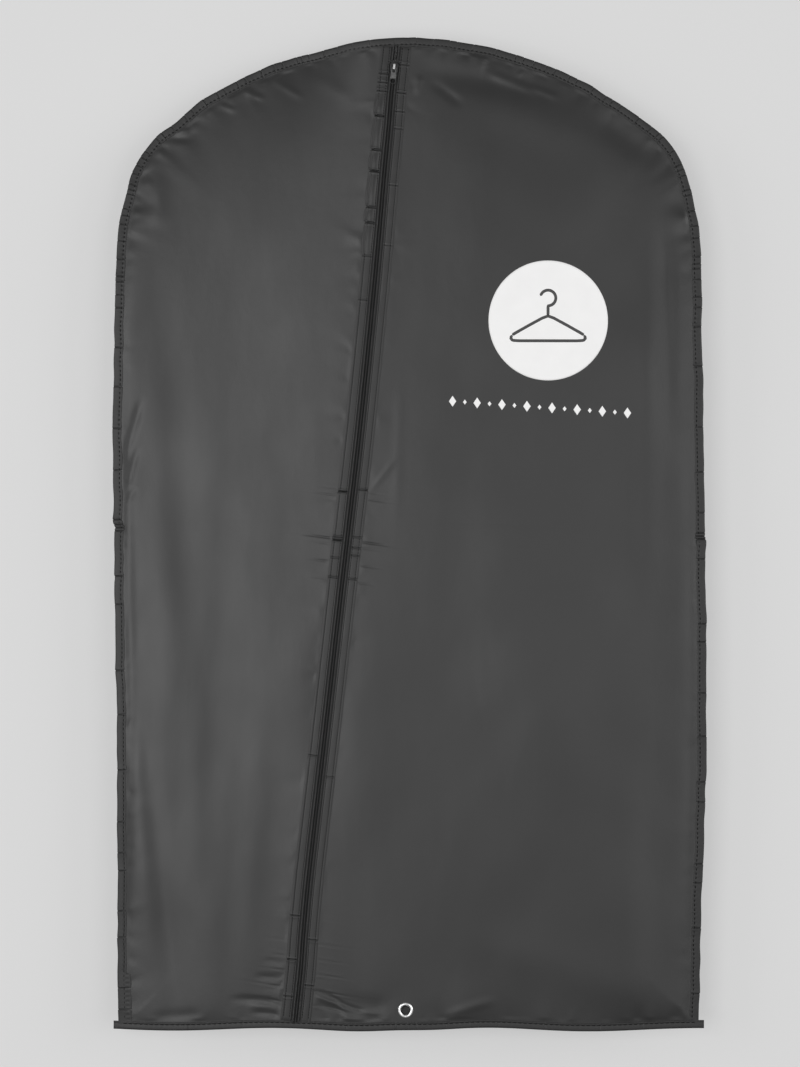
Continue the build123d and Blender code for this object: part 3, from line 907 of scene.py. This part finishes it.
def facing_stitches():
    """Two rows of stitches down each facing, sunk into its grooves."""
    starts = np.arange(10, ZIP_END - 6, FACING_STITCH)
    sew("facing_stitches", [
        stitch_run(starts, 1.9, lambda down, height, a=hand * across: zip_world(a, down, 0.2 + height))
        for hand in SIDES for across in FACING_GROOVES])


facing_stitches()


# ---- Edge, bottom and neck bindings ----
def rim_world(around, inward, out):
    """World points beside the outline: how far in from it, and out from the seam's middle."""
    x, z = rim.beside(around, inward + dent(around))
    return place(x, seam_front(x, z) + out, z)


HALF_SECTION = np.array((  # how far in from the edge, and out from the middle, on one face
    (9.0, 0.5), (8.8, 0.66), (8.2, 0.74), (7.4, 0.72), (6.8, 0.62), (6.4, 0.52), (6.0, 0.62), (5.2, 0.76),
    (3.8, 0.86), (2.2, 0.92), (0.9, 0.9), (0.1, 0.72), (-0.3, 0.36),
))
INNER_SECTION = np.array(((8.8, 0.44), (6.4, 0.42), (4.6, 0.56), (1.4, 0.6), (0.4, 0.4)))
MIRROR = np.array((1, -1))
BINDING_SECTION = np.concatenate([
    HALF_SECTION, [(-0.4, 0.0)], (HALF_SECTION * MIRROR)[::-1],
    INNER_SECTION * MIRROR, [(0.1, 0.0)], INNER_SECTION[::-1]])


EDGE_STITCH = 4.6
HEM_STITCH, HEM_THICKNESS = 5.4, 1.3
STITCH_INWARD, NECK_STITCH_INWARD = 6.4, 5.7


def sewn_down(along, pitch, depth):
    """How the stitches make the tape's surface rise and fall, over each section along it."""
    near = bell(BINDING_SECTION[:, 0] - STITCH_INWARD, 1.2)
    return depth * np.cos(2 * np.pi * along / pitch)[:, None] * near


def wander(along, shortest, longest, draw):
    """Uneven waves along a binding."""
    return sum(draw.uniform(0.2, 1) * np.sin(2 * np.pi * along / draw.uniform(shortest, longest)
                                             + draw.uniform(0, 6.28)) for _ in range(12)) / 6


def swollen(out, swell, least):
    """Moves both faces of a binding away from its middle by some swell, but never closes it."""
    reach = np.abs(out)
    return np.sign(out) * np.maximum(reach + swell * (reach > 0.4), np.minimum(reach, least))


def pleats(start, end, spacing, seed):
    """Places where the binding is folded over itself as it goes round, and how strongly."""
    draw = np.random.default_rng(seed)
    at, places = start, []
    while at < end:
        places.append((at, draw.uniform(0.25, 1.0), draw.choice((-1, 1))))
        at += spacing * draw.uniform(0.35, 1.7)
    return places


def gathers(x, z):
    """Three close pleats, where the bag was folded in half."""
    return [(around_at(x, z) + shift, 0.9, 1) for shift in (-3.4, 0.0, 3.2)]


def join_lift(around):
    """How far the right binding's end stands up, where it is laid over the left one's."""
    return 0.45 * smooth(34, 6, around)


def edge_binding(side, start, end, pleat_rows, seed):
    """Folded tape over the edge, with pleats where it turns and a wavy inner edge."""
    draw = np.random.default_rng(seed)
    around = with_fine_steps(np.arange(start, end, 0.9), [at for at, _, _ in pleat_rows], 1.8, 0.3)
    step, groove = np.zeros_like(around), np.zeros_like(around)
    for at, strong, way in pleat_rows:
        after = way * (around - at)
        step += strong * np.exp(-np.abs(after) / 4.0) * smooth(0, 0.6, after)
        groove += (0.45 + 0.55 * strong) * bell(after, 0.55)
    waves = wander(around, 14, 70, draw)
    rest, out = BINDING_SECTION.T
    inward = rest + (0.5 * waves + 0.4 * step - 0.6 * groove)[:, None] * (rest / BINDING_WIDTH)
    inward = inward - (0.3 * step - 0.35 * groove)[:, None] * (rest < 1)
    swell = (0.5 * step - 0.8 * groove + 0.14 * waves)[:, None] * smooth(9.6, 8.2, rest)
    out = swollen(out, swell + sewn_down(around, EDGE_STITCH, 0.14), 0.45)
    wide = np.interp(around, *BINDING_FOLD) if side == "left" else 1 + 0 * around
    inward = np.where(inward > 1, inward * wide[:, None], inward)
    rings = rim_world(around[:, None], inward, out + join_lift(around)[:, None])
    piece = skin("binding_" + side, rings[None], binding_film)
    return stand_in(piece, "edge_binding_" + side)


# The left binding is doubled at its foot, where its end is folded over: how wide it is there
BINDING_FOLD = (LEFT_START + np.array((0, 57, 58.2)), (1.55, 1.5, 1.0))
right_pleats = pleats(8, 470, 14, 21) + pleats(470, RIGHT_END - 20, 42, 22) + gathers(302, -510)
left_pleats = (pleats(LEFT_START + 20, rim.length - 470, 42, 23)
               + pleats(rim.length - 470, rim.length - 30, 12, 24) + gathers(-302, -501))
bindings = {
    1: edge_binding("right", BINDING_JOIN - 2.5, RIGHT_END - 0.5, right_pleats, 5),
    -1: edge_binding("left", LEFT_START + 0.5, rim.length + BINDING_JOIN + 1, left_pleats, 6),
}


HEM_TICKS = (
    (-13, 1.3), (-1, 0.5), (8, 0.6), (38, 0.4), (-98, 0.5), (-64, 0.3), (92, 0.5), (140, 0.35),
    (-170, 0.4), (-226, 0.5), (196, 0.5), (240, 0.4),
)


def bottom_binding():
    """The straight tape along the hem, longer than the hem at both ends, with its join."""
    half = BOTTOM_HALF + OVERHANG
    x = with_fine_steps(np.linspace(-half, half, 540), [at for at, _ in HEM_TICKS], 1.8, 0.3)[::-1]
    ticks = sum(deep * bell(x - at, 0.6) for at, deep in HEM_TICKS)
    waves = wander(x, 18, 90, np.random.default_rng(8))
    past = smooth(BOTTOM_HALF - 1, BOTTOM_HALF + 3, np.abs(x))[:, None]
    inward = BINDING_SECTION[:, 0] * (BOTTOM_BINDING + 0.3 * waves[:, None]) / BINDING_WIDTH
    swell = (0.1 * waves - 0.6 * ticks)[:, None] + sewn_down(x, HEM_STITCH, 0.16)
    out = swollen(BINDING_SECTION[:, 1] * (HEM_THICKNESS - 0.6 * past), swell, 0.5)
    z = -BAG_HEIGHT + inward + 0.4
    x = x[:, None] * np.ones_like(z)
    piece = skin("binding_bottom", place(x, seam_front(x, z) + out, z)[None], binding_film)
    return stand_in(piece, "bottom_binding")


hem = bottom_binding()


def neck_path():
    """The edge of the neck opening, from its left end to its right."""
    low, side, turn = NECK_DEPTH, NECK_HALF, np.linspace(0, np.pi / 2, 12)
    left = np.stack([-(side - NECK_CORNER) - NECK_CORNER * np.cos(turn),
                     -(low - NECK_CORNER) - NECK_CORNER * np.sin(turn)], 1)
    right = (left * (-1, 1))[::-1]
    top = -side ** 2 / 2 / CROWN[0] - 2
    return Path(np.concatenate([[(-side, top)], left, right, [(side, top)]]))


neck = neck_path()


def neck_world(distance, away, out):
    x, z = neck.beside(distance, away)
    return place(x, back_film(x, z) - 0.1 + out, z)


def neck_binding():
    distance = np.arange(0, neck.length, 1.0)
    waves = np.sin(distance / 5.1) + np.sin(distance / 3.2 + 1)
    inward = BINDING_SECTION[:, 0] * NECK_BINDING / BINDING_WIDTH + 0 * distance[:, None]
    out = BINDING_SECTION[:, 1] * (0.9 + 0.06 * waves[:, None])
    piece = skin("binding_neck", neck_world(distance[:, None], inward, out)[None], binding_film)
    return stand_in(piece, "neck_binding")


neck_tape = neck_binding()


def edge_sewing(at, height, face):
    return rim_world(at, STITCH_INWARD + 0 * at, face * (0.62 + height) + join_lift(at))


def hem_sewing(x, height, face):
    z = -BAG_HEIGHT + 0.4 + STITCH_INWARD * BOTTOM_BINDING / BINDING_WIDTH + 0 * x
    return place(x, seam_front(x, z) + face * (HEM_THICKNESS * 0.6 + height), z)


def neck_sewing(at, height, face):
    return neck_world(at, NECK_STITCH_INWARD + 0 * at, face * (0.56 + height))


def binding_stitches():
    """Single stitches along every binding, on the front and on the back."""
    rows = []
    ends = ((BINDING_JOIN + 4, RIGHT_END - 12), (LEFT_START + 12, rim.length + BINDING_JOIN - 6))
    for start, end in ends:
        starts = np.arange(start, end, EDGE_STITCH)
        rows.append((starts + rng.uniform(-0.3, 0.3, len(starts)), 2.6, edge_sewing))
    rows.append((np.arange(-BOTTOM_HALF + 4, BOTTOM_HALF - 6, HEM_STITCH), 3.6, hem_sewing))
    rows.append((np.arange(3, neck.length - 5, 5.5), 3.6, neck_sewing))
    sew("binding_stitches", [
        stitch_run(starts, length, lambda at, height, s=sewing, f=face: s(at, height, f))
        for starts, length, sewing in rows for face in (1, -1)])


binding_stitches()

# ---- Print: a plain disc with a coat hanger, and a row of lozenges ----
bpy.context.view_layer.update()
film_trees = [BVHTree.FromObject(o, bpy.context.evaluated_depsgraph_get()) for o in front_films.values()]


def on_film(x, z, lift):
    """World points that lie on the front film's mesh, standing out by lift."""
    guess = place(x, 40.0, z)
    flat = guess.reshape(-1, 3)
    out = np.empty(len(flat))
    for k, p in enumerate(flat):
        hits = [tree.ray_cast(Vector(p), Vector((0, 1, 0)))[0] for tree in film_trees]
        out[k] = min(hit.y for hit in hits if hit is not None)
    flat[:, 1] = out - lift * MM
    return flat.reshape(guess.shape)


DISC_X, DISC_Z, DISC_RADIUS = 142.8, -289.3, 61.4
INK, INK_LIFT = 0.05, 0.12


def print_disc():
    radius = DISC_RADIUS * np.linspace(0, 1, 34)[1:, None]
    turn = np.linspace(0, 2 * np.pi, 121)[:-1][None]
    x, z = DISC_X + radius * np.cos(turn), DISC_Z + radius * np.sin(turn)
    rings = on_film(x, z, INK_LIFT)
    centre = on_film(np.array([[DISC_X]]), np.array([[DISC_Z]]), INK_LIFT).reshape(1, 3)
    count, around = rings.shape[0] * rings.shape[1], rings.shape[1]
    under = np.array((0, INK * MM, 0))
    points = np.concatenate([rings.reshape(-1, 3), centre, rings.reshape(-1, 3) + under, centre + under])
    bands = grid_faces(rings.shape[0], around, close_columns=True)
    k = np.arange(around)
    middle = np.stack([np.full(around, count), (k + 1) % around, k], 1)
    edge = (rings.shape[0] - 1) * around
    here, ahead = edge + k, edge + (k + 1) % around
    walls = np.stack([here, ahead, ahead + count + 1, here + count + 1], 1)
    faces = [bands, bands[:, ::-1] + count + 1, middle, middle[:, ::-1] + count + 1, walls]
    return new_piece("print_disc", points, faces, white_ink)


def ink_stroke(points, width, lift):
    """Places across a stroke of even width along a line of places, with a round start and end."""
    path = Path(points)
    at = np.linspace(0, path.length, max(8, int(path.length / 1.2)))
    end = np.minimum(at, path.length - at)
    half = width / 2 * np.sqrt(np.clip(1 - (1 - np.clip(end / (width / 2), 0.02, 1)) ** 2, 0, 1))
    over = np.linspace(-1, 1, 5)[None] * half[:, None]
    return on_film(*path.beside(at[:, None], over), lift)


def join_pieces(pieces, name):
    """Joins pieces into the first, which keeps its body."""
    with bpy.context.temp_override(active_object=pieces[0], selected_editable_objects=pieces,
                                   selected_objects=pieces):
        bpy.ops.object.join()
    pieces[0].name = name
    return pieces[0]


STROKE_WIDTH, STROKE_LIFT = 3.0, 0.2


def print_hanger():
    """A coat hanger drawn with plain strokes: two shoulders, a bar and a hook."""
    turn = np.radians(np.linspace(-90, 165, 30))
    hook = np.stack([8.0 * np.cos(turn), 25.0 + 8.0 * np.sin(turn)], 1)
    hook = np.concatenate([[(0, 7), (0, 12)], hook])
    half_shoulder = np.array([(-37, -13), (-33.5, -10.8), (-20, -3.2), (-6, 4.4), (0, 6.6)])
    half_bar = np.array([(-37, -13), (-38.5, -16), (-36.5, -18.4), (-30, -18.8), (0, -18.8)])
    lines = [hook]
    for half in (half_shoulder, half_bar):
        lines.append(np.concatenate([half, (half * (-1, 1))[-2::-1]]))
    strokes = [ink_stroke(line + (DISC_X, DISC_Z - 2), STROKE_WIDTH, STROKE_LIFT) for line in lines]
    return join_pieces([closed_sheet(f"stroke_{k}", stroke, INK, dark_ink)
                        for k, stroke in enumerate(strokes)], "print_hanger")


LOZENGE_ROW = ((44, -372), (224, -384))
LOZENGES = 15
BIG_LOZENGE, SMALL_LOZENGE = (5.6, 3.9), (2.6, 2.0)  # half its height, half its width


def print_lozenges():
    (x0, z0), (x1, z1) = LOZENGE_ROW
    made = []
    for k in range(LOZENGES):
        share = k / (LOZENGES - 1)
        tall, wide = SMALL_LOZENGE if k % 2 else BIG_LOZENGE
        s = np.linspace(-1, 1, 13)[:, None]
        over = np.linspace(-1, 1, 7)[None] * np.maximum(1 - np.abs(s), 0.01)
        x = x0 + (x1 - x0) * share + wide * over
        z = z0 + (z1 - z0) * share + tall * s + 0 * over
        made.append(closed_sheet(f"lozenge_{k}", on_film(x, z, INK_LIFT), INK, white_ink))
    return join_pieces(made, "print_lozenges")


printed = [print_disc(), print_hanger(), print_lozenges()]

# ---- CAD parts that stay as they are ----
METALS = {"grommet_eyelet": eyelet_chrome, "grommet_washer": eyelet_chrome,
          "zip_slider_body": slider_paint_and_highlight, "zip_pull_tab": pull_nickel_and_shade}
ROUNDING = 0.00018
for node, finish in METALS.items():
    part = frame["nodes"][node]
    part.data.materials.clear()
    part.data.materials.append(finish)
    part.modifiers.new("weld", "WELD").merge_threshold = 0.000001
    soften = part.modifiers.new("soften", "BEVEL")
    soften.width, soften.segments = ROUNDING, 2
    soften.limit_method, soften.angle_limit = "ANGLE", math.radians(40)

# ---- Stage, lights and camera ----
WALL_Y, FLOOR_Z = 0.045, -1.3
WALL_GLOW, WALL_LEVEL, FLOOR_LEVEL = 0.4, 0.31, 0.14


def seen_from_front_only(name, level):
    """A pale studio surface, lit partly from within, that isn't there when seen from behind."""
    paint = Shader(name, level, 0.9, Emission_Color=(1, 1, 1, 1), Emission_Strength=WALL_GLOW)
    paint.tint((0.5, 3), 0.985, 1)
    paint.bump(((0.01, 3), 0.0002))
    tree = paint.tree
    behind = paint.node("NewGeometry").outputs["Backfacing"]
    mix = paint.node("MixShader", {0: behind, 1: paint.surface.outputs[0]})
    tree.links.new(paint.node("BsdfTransparent").outputs[0], mix.inputs[2])
    tree.links.new(mix.outputs[0], tree.nodes["Material Output"].inputs[0])
    return paint.material


def studio_plane(name, corners, level):
    mesh = bpy.data.meshes.new(name)
    mesh.from_pydata(corners, [], [(0, 1, 2, 3)])
    plane = add_object(name, mesh)
    mesh.materials.append(seen_from_front_only(name, level))
    for rays in ("diffuse", "glossy", "transmission", "shadow"):
        setattr(plane, "visible_" + rays, False)


wall = [(-6, WALL_Y, FLOOR_Z), (6, WALL_Y, FLOOR_Z), (6, WALL_Y, 5), (-6, WALL_Y, 5)]
studio_plane("wall", wall, WALL_LEVEL)
studio_plane("floor", [(x, y, FLOOR_Z) for x, y in ((-6, -6), (6, -6), (6, 6), (-6, 6))], FLOOR_LEVEL)

world = bpy.data.worlds.new("studio")
bpy.context.scene.world = world
world.use_nodes = True
sky = world.node_tree.nodes["Background"].inputs
sky["Color"].default_value = (0.8, 0.8, 0.8, 1)
sky["Strength"].default_value = 0.3


BAG_MIDDLE = Vector((0, 0, -0.5))


def softbox(name, at, size, power):
    """A lamp the size of a studio softbox, turned to the middle of the bag."""
    light = bpy.data.lights.new(name, "AREA")
    light.shape, light.size, light.size_y, light.energy = "RECTANGLE", size[0], size[1], power
    lamp = add_object(name, light)
    lamp.location = at
    lamp.rotation_euler = (BAG_MIDDLE - Vector(at)).to_track_quat("-Z", "Y").to_euler()
    lamp.visible_camera = False


softbox("key", (-1.2, -3.3, -0.55), (1.5, 1.9), 42)
softbox("fill", (1.5, -3.3, -0.6), (1.5, 1.9), 22)
softbox("side_left", (-3.2, -1.7, 0.1), (2.0, 2.5), 36)
softbox("side_right", (3.2, -1.7, 0.1), (2.0, 2.5), 44)
softbox("behind_left", (-2.4, 3.4, 0.4), (2.0, 2.0), 45)
softbox("behind_right", (2.0, 3.4, -0.2), (1.5, 2.0), 24)

LENS, SENSOR = 85.0, 36.0
FRAME_HEIGHT = 1.0926
CAMERA_X, CAMERA_Z = -0.0087, -0.5074
camera_data = bpy.data.cameras.new("camera")
camera_data.lens, camera_data.sensor_width = LENS, SENSOR
camera = add_object("camera", camera_data)
camera.location = (CAMERA_X, -ZIP_FRONT * MM - FRAME_HEIGHT * LENS / SENSOR, CAMERA_Z)
camera.rotation_euler = (math.pi / 2, 0, 0)
bpy.context.scene.camera = camera
bpy.context.scene.view_settings.view_transform = "Standard"
